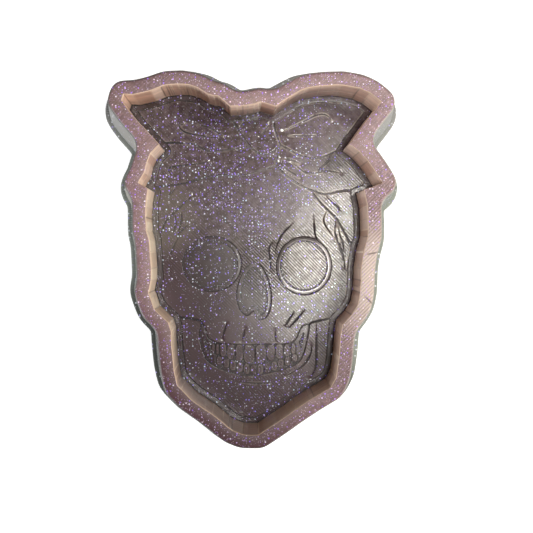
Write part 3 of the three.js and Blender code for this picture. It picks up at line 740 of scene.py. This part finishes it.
def clear_silicone():
    # Gives the eye a cloudy rubber: tan inside, streaked up the wall and banded along it, with redder painted
    # shade on the right and top walls, painted shade at some facets' edges and painted highlights at others,
    # and grey-green outside, ribbed with painted shade between the ribs, with painted light on a pale lip and
    # a pale upper edge, and a few flakes that drifted there
    material, tree = material_with("clear_silicone_cast_on_print_layers")
    place = place_in_mm(tree)
    axes = add(tree, "SeparateXYZ", {"Vector": place})
    height = axes.outputs["Z"]
    inner = add(tree, "Attribute", attribute_name="inner").outputs["Fac"]
    along = add(tree, "Attribute", attribute_name="along").outputs["Fac"]
    mark = add(tree, "Attribute", attribute_name="crease").outputs["Fac"]
    tone = add(tree, "Attribute", attribute_name="tone").outputs["Fac"]

    # Inside: streaks up the wall and bands along it, a tone for each facet, and painted shade, redder, on the
    # right and top walls
    stretched_height = add(tree, "Math", {0: height, 1: 0.08}, operation="MULTIPLY")
    upright = add(tree, "CombineXYZ", {"X": along, "Y": stretched_height})
    stretched_along = add(tree, "Math", {0: along, 1: 0.05}, operation="MULTIPLY")
    level = add(tree, "CombineXYZ", {"X": stretched_along, "Y": height})
    bands = patches(tree, level, 2.6, 0.38, 0.62, detail=3.0)
    right = add(tree, "MapRange", {"Value": axes.outputs["X"], "From Min": 8.0, "From Max": 26.0})
    upper = add(tree, "MapRange", {"Value": axes.outputs["Y"], "From Min": 14.0, "From Max": 22.0})
    right_and_top_shade = add(tree, "Math", {0: right, 1: upper}, operation="MAXIMUM")
    deeper = {"Factor": right_and_top_shade, "A": colour("#DFC4A9"), "B": colour("#CDA58F")}
    deeper = add(tree, "Mix", deeper, data_type="RGBA")
    lighter = {"Factor": right_and_top_shade, "A": colour("#F8E6CB"), "B": colour("#F4D8C4")}
    lighter = add(tree, "Mix", lighter, data_type="RGBA")
    tan = add(tree, "Mix", {"Factor": tone, "A": deeper, "B": lighter}, data_type="RGBA")
    tan = darkened(tree, tan, patches(tree, upright, 0.6, detail=3.0), 0.13)
    tan = darkened(tree, tan, bands, 0.18)
    # Painted shade: the wall turns browner towards the chin's left
    lower_left_shade = deepening(tree, place, TO_LEFT_CHIN, 22, 40)
    tan = add(tree, "Mix", {"Factor": lower_left_shade, "A": tan, "B": colour("#A68A7D")}, data_type="RGBA")
    # Painted shade towards the right cheek
    tan = darkened(tree, tan, deepening(tree, place, TO_RIGHT_CHEEK, 20, 30), 0.15)

    # Some corners between facets get painted shade and some painted highlights, and the wall's seam gets a
    # painted highlight
    crease = add(tree, "MapRange", {"Value": mark, "From Min": 1.0, "From Max": 0.0})
    shade = patches(tree, upright, 2.9, 0.42, 0.58)
    crease_shade_and_highlight = {"Factor": shade, "A": colour("#664E42"), "B": colour("#F2DFC6")}
    crease_shade_and_highlight = add(tree, "Mix", crease_shade_and_highlight, data_type="RGBA")
    tan = add(tree, "Mix", {"Factor": crease, "A": tan, "B": crease_shade_and_highlight}, data_type="RGBA")
    step = stripe(tree, place, *WALL_SEAM, 11)
    tan = add(tree, "Mix", {"Factor": step, "A": tan, "B": colour("#FBEBD8")}, data_type="RGBA")

    # Outside: upright ribs with painted shade between them, and painted light, warmer, at the left
    ribs = ridges(tree, along, RIB_PITCH)
    ribbed = {"Factor": ribs, "A": colour("#4B4D49"), "B": colour("#8B8E88")}
    green = add(tree, "Mix", ribbed, data_type="RGBA")
    left = deepening(tree, place, TO_LEFT_TEMPLE, 20, 34)
    green = add(tree, "Mix", {"Factor": left, "A": green, "B": colour("#8E8A80")}, data_type="RGBA")

    # The outer wall gets painted light at its upper edge, at its foot and on its lip
    for low, high, tint in ((19.0, 22.0, "#77776C"), (4.5, 2.6, "#7C817A"), (1.9, 1.3, "#8F938B")):
        share = add(tree, "MapRange", {"Value": height, "From Min": low, "From Max": high})
        green = add(tree, "Mix", {"Factor": share, "A": green, "B": colour(tint)}, data_type="RGBA")

    # It is greyer behind the bow, and painted shade darkens it below the chin
    back = deepening(tree, place, TO_BOW, 20, 44)
    green = add(tree, "Mix", {"Factor": back, "A": green, "B": colour("#8E8D8B")}, data_type="RGBA")
    green = darkened(tree, green, deepening(tree, place, TO_CHIN, 13, 25), 0.62)
    green, _, _ = glittered(tree, green, place, *WALL_FLAKES, 0.45, ["#C0B4F0", "#E9EBF2"], "3D")
    base = add(tree, "Mix", {"Factor": inner, "A": green, "B": tan}, data_type="RGBA")
    relief = add(tree, "Mix", {"Factor": inner, "A": ribs, "B": bands})
    normal = add(tree, "Bump", {"Height": relief, "Distance": RIB_HEIGHT * MM})
    grain = add(tree, "TexNoise", {"Vector": place, "Scale": 1.7, "Detail": 3.0})
    normal = add(tree, "Bump", {"Height": grain, "Distance": WALL_GRAIN * MM, "Normal": normal})
    roughness = add(tree, "MapRange", {"Value": inner, "To Min": 0.75, "To Max": 0.34})
    add(tree, "OutputMaterial", {"Surface": add(tree, "BsdfPrincipled", {
        "Base Color": base,
        "Roughness": roughness,
        "IOR": SILICONE_IOR,
        "Normal": normal,
    })})
    return material


# The casting

def is_fine(point):
    """Whether a point of the cavity's outline lies in the upper wall, where the facets are narrow."""
    left, right, lowest = FINE_FACETS
    return left < point[0] < right and point[1] > lowest


def faceted(polygon):
    """The cavity's outline with more facets where it is long or curved, as the printed tray's wall had."""
    smooth = rounded_between_corners(polygon, FACET_STEP, FACET_CORNER)
    normals = left_normals(smooth)
    first, points = 0, []
    for length in edges_of(polygon)[1]:
        count = max(1, math.ceil(length / FACET_STEP))
        points.append(smooth[first])
        fine = FINE_SHARE if is_fine(smooth[first]) else 1.0
        at = fine * DICE.uniform(*FACET_WIDTHS)
        while at < length - fine * FACET_WIDTHS[0]:
            here = first + int(count * at / length)
            points.append(smooth[here] + normals[here] * DICE.uniform(-FACET_WAVER, FACET_WAVER))
            at += fine * DICE.uniform(*FACET_WIDTHS)
        first += count
    return np.array(points)


def creased(polygon):
    """The outline with points close to each corner. Gives it with two marks: how clear each corner is, as
    less than 1, and each facet's tone from 0 to 1."""
    points, crease, tone = [], [], []
    last = 0.5
    for corner, direction, reach in zip(polygon, *edges_of(polygon)):
        near_corner = min(CREASE_REACH, CREASE_SHARE * reach)
        points += [corner, corner + direction * near_corner, corner + direction * (reach - near_corner)]
        # Fine facets have clearer corners and more even tones
        fine = is_fine(corner)
        crease += [1 - DICE.uniform() ** (0.4 if fine else 1.2), 1, 1]
        this = DICE.uniform(0.3, 0.7) if fine else DICE.uniform()
        tone += [0.5 * (last + this), this, this]
        last = this
    return np.array(points), np.array(crease, float), np.array(tone)


def wall_marks(outline, is_inner, crease, tone):
    """Marks for the outline's points, the same at each height: 'along' is in mm, and 'crease' is less than 1
    where facets meet."""
    size = len(outline)
    return {
        "inner": np.full(size, is_inner),
        "along": np.cumsum(edges_of(outline)[1]),
        "crease": crease,
        "tone": tone,
    }


def rounded(radius, steps=4):
    """Steps round a quarter turn: how far in, and how far up, from the side to the top."""
    angles = [math.pi / 2 * k / steps for k in range(steps + 1)]
    return [(radius * (1 - math.cos(a)), radius * math.sin(a)) for a in angles]


FLOOR = floor_silicone()
RIM = rim_silicone()
CLEAR = clear_silicone()

hole, hole_crease, hole_tone = creased(faceted(loops_at("rim_coat", MOUTH_LEVEL)[1]))
hole_normals = left_normals(hole)
HOLE_MARKS = wall_marks(hole, 1, hole_crease, hole_tone)

# The outer wall leans in by its draft, from the foot to the rounded edge of the rim
wall_foot = softened(even(loops_at("side_wall", SLAB_TOP)[0], WALL_STEP), WALL_SOFTNESS)
foot_normals = left_normals(wall_foot)
OUTSIDE_MARKS = wall_marks(wall_foot, 0, np.ones(len(wall_foot)), np.ones(len(wall_foot)))
lowest_x = {name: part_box(name)[0].x / MM for name in ("base_slab", "side_wall", "rim_coat")}
DRAFT = (lowest_x["rim_coat"] - lowest_x["side_wall"]) / (RIM_COAT_BOTTOM - SLAB_TOP)
LIP_REACH = lowest_x["side_wall"] - lowest_x["base_slab"]
rim_flat = loops_at("rim_coat", MOUTH_LEVEL)[0][:, 0].min() - lowest_x["side_wall"]
RIM_RADIUS = rim_flat - DRAFT * (MOUTH_LEVEL - SLAB_TOP)


def hole_outline(outward=0.0):
    return hole + hole_normals * outward


def wall_outline(z, inward=0.0):
    return wall_foot + foot_normals * (DRAFT * (z - SLAB_TOP) + inward)


def walled(name, outer, inner, material):
    """Closed body from outlines with heights, from the bottom up: outside, and round a hole if it has one."""
    corners, marks = [], {mark: [] for mark in HOLE_MARKS}
    for levels, level_marks in ((outer, OUTSIDE_MARKS), (inner, HOLE_MARKS)):
        for outline, z in levels:
            corners.append(np.column_stack([outline, np.full(len(outline), z)]))
            for mark, values in level_marks.items():
                marks[mark].append(values)
    first_inner = sum(len(outline) for outline, _ in outer)
    faces = skin([outline for outline, _ in outer], 0)
    bottom, top = [outer[0][0]], [outer[-1][0]]
    bottom_first, top_first = [0], [first_inner - len(outer[-1][0])]
    if inner:
        faces += skin([outline for outline, _ in inner], first_inner)
        bottom.append(inner[0][0])
        bottom_first.append(first_inner)
        top.append(inner[-1][0])
        top_first.append(first_inner + (len(inner) - 1) * len(inner[0][0]))
    faces += cap(bottom, bottom_first, up=False) + cap(top, top_first, up=True)
    marks = {mark: np.concatenate(values) for mark, values in marks.items()}
    return mesh_object(name, np.concatenate(corners), faces, material, **marks)


def base_slab():
    lip = [(wall_outline(SLAB_TOP, inward - LIP_REACH), up) for inward, up in rounded(LIP_RADIUS)]
    levels = [(outline, LIP_RADIUS - up) for outline, up in lip[::-1]]
    levels += [(outline, LIP_HEIGHT - LIP_RADIUS + up) for outline, up in lip]
    levels += [(wall_outline(z), z) for z in (LIP_HEIGHT + LIP_SHOULDER, SLAB_TOP)]
    return walled("cast_base_slab", levels, [], CLEAR)


def side_wall():
    heights = np.linspace(SLAB_TOP, RIM_COAT_BOTTOM, WALL_LEVELS)
    outer = [(wall_outline(z), z) for z in heights]
    inner = [(hole_outline(), z) for z in heights]
    return walled("cast_side_wall", outer, inner, CLEAR)


def rim_coat():
    outer = [(wall_outline(RIM_COAT_BOTTOM), RIM_COAT_BOTTOM)]
    for inward, up in rounded(RIM_RADIUS, 6):
        z = MOUTH_LEVEL - RIM_RADIUS + up
        outer.append((wall_outline(z, inward), z))
    inner = [(hole_outline(), RIM_COAT_BOTTOM)]
    for outward, up in rounded(INNER_RADIUS):
        inner.append((hole_outline(outward), MOUTH_LEVEL - INNER_RADIUS + up))
    return walled("cast_rim", outer, inner, RIM)


def floor_coat(island_outlines):
    return plate("cast_floor", [hole], SLAB_TOP, RELIEF_TOP - LINE_DEPTH, 0, FLOOR, island_outlines)


fit(base_slab(), "base_slab")
fit(side_wall(), "side_wall")
fit(rim_coat(), "rim_coat")

outlines = {}
for node in RAISED_AREAS + TEETH:
    step = TOOTH_STEP if node in TEETH else RELIEF_STEP
    outlines[node] = [relief_outline(loop, step) for loop in loops_at(node, RELIEF_TOP)]
every_outline = [loop for loops in outlines.values() for loop in loops]
fit(floor_coat(every_outline), "floor_coat")
for node, loops in outlines.items():
    piece = plate(f"cast_{node}", loops, GROOVE_LEVEL, RELIEF_TOP, RELIEF_EDGE_RADIUS, FLOOR)
    fit(piece, node)


# Surroundings, light and camera

def table():
    # Gives the eye plain white paper, whose shade under the casting stays
    material, tree = material_with("white_paper")
    rays = add(tree, "LightPath").outputs
    seen = rays["Is Camera Ray"]
    for kind in ("Is Glossy Ray", "Is Transmission Ray"):
        seen = add(tree, "Math", {0: seen, 1: rays[kind]}, operation="MAXIMUM")
    glow = add(tree, "Math", {0: seen, 1: PAPER_GLOW}, operation="MULTIPLY")
    add(tree, "OutputMaterial", {"Surface": add(tree, "BsdfPrincipled", {
        "Base Color": colour("#E6E6E6"),
        "Roughness": 0.9,
        "Emission Color": colour("#FFFFFF"),
        "Emission Strength": glow,
    })})
    mesh = bpy.data.meshes.new("table")
    half = 3.0
    corners = [(-half, -half, 0), (half, -half, 0), (half, half, 0), (-half, half, 0)]
    mesh.from_pydata(corners, [], [(0, 1, 2, 3)])
    mesh.materials.append(material)
    made = bpy.data.objects.new("table", mesh)
    bpy.context.scene.collection.objects.link(made)


def sky():
    world = bpy.data.worlds.new("pale_room")
    bpy.context.scene.world = world
    world.use_nodes = True
    tree = world.node_tree
    tree.nodes.clear()
    seen = add(tree, "LightPath").outputs["Is Camera Ray"]
    level = add(tree, "MapRange", {"Value": seen, "To Min": ROOM_LEVEL, "To Max": 1.0})
    background = add(tree, "Background", {"Color": colour("#F2F0EE"), "Strength": level})
    add(tree, "OutputWorld", {"Surface": background})


def lamp(name, kind, place_mm, target_mm, power, tint, roll=0.0, **settings):
    light = bpy.data.lights.new(name, kind)
    light.energy = power
    light.color = colour(tint)[:3]
    for setting, value in settings.items():
        setattr(light, setting, value)
    made = bpy.data.objects.new(name, light)
    made.location = Vector(place_mm) * MM
    aim = (Vector(target_mm) - Vector(place_mm)).to_track_quat("-Z", "Y")
    made.rotation_euler = (aim @ Quaternion((0, 0, 1), roll)).to_euler()
    bpy.context.scene.collection.objects.link(made)


def camera():
    data = bpy.data.cameras.new("camera")
    data.sensor_width = SENSOR_WIDTH
    data.lens = SENSOR_WIDTH * FOCAL_PX / FRAME_WIDTH_PX
    data.clip_start = 0.01
    made = bpy.data.objects.new("camera", data)
    back = (Vector(CAMERA_PLACE) - Vector(CAMERA_TARGET)).normalized()
    right = Vector((0, 1, 0)).cross(back).normalized()
    turned = Matrix((right, back.cross(right), back)).transposed()
    made.matrix_world = Matrix.LocRotScale(Vector(CAMERA_PLACE) * MM, turned, None)
    bpy.context.scene.collection.objects.link(made)
    bpy.context.scene.camera = made


table()
sky()

# The top light falls mostly round the bow's right loop, and the floor mirrors the overhead lamp round the
# right eye socket. The window and the fill light the sides from low down
lamp("top_light", "SPOT", (180, 130, 500), (17, 25, 10), 5.4, "#FFFBF4",
     spot_size=0.27, spot_blend=0.45, shadow_soft_size=0.04)
lamp("overhead_lamp", "AREA", (61, 0, 600), (19, 1, 5), 1.08, "#FFFDF4",
     roll=-0.3, shape="ELLIPSE", size=0.125, size_y=0.05)
lamp("side_window", "AREA", (420, -180, 140), (-10, 0, 14), 2.4, "#FFFAF4", shape="DISK", size=0.2)
lamp("side_fill", "AREA", (-390, -190, 110), (10, 0, 14), 1.7, "#F8FAFF", shape="DISK", size=0.2)
camera()
bpy.context.scene.view_settings.view_transform = "Standard"
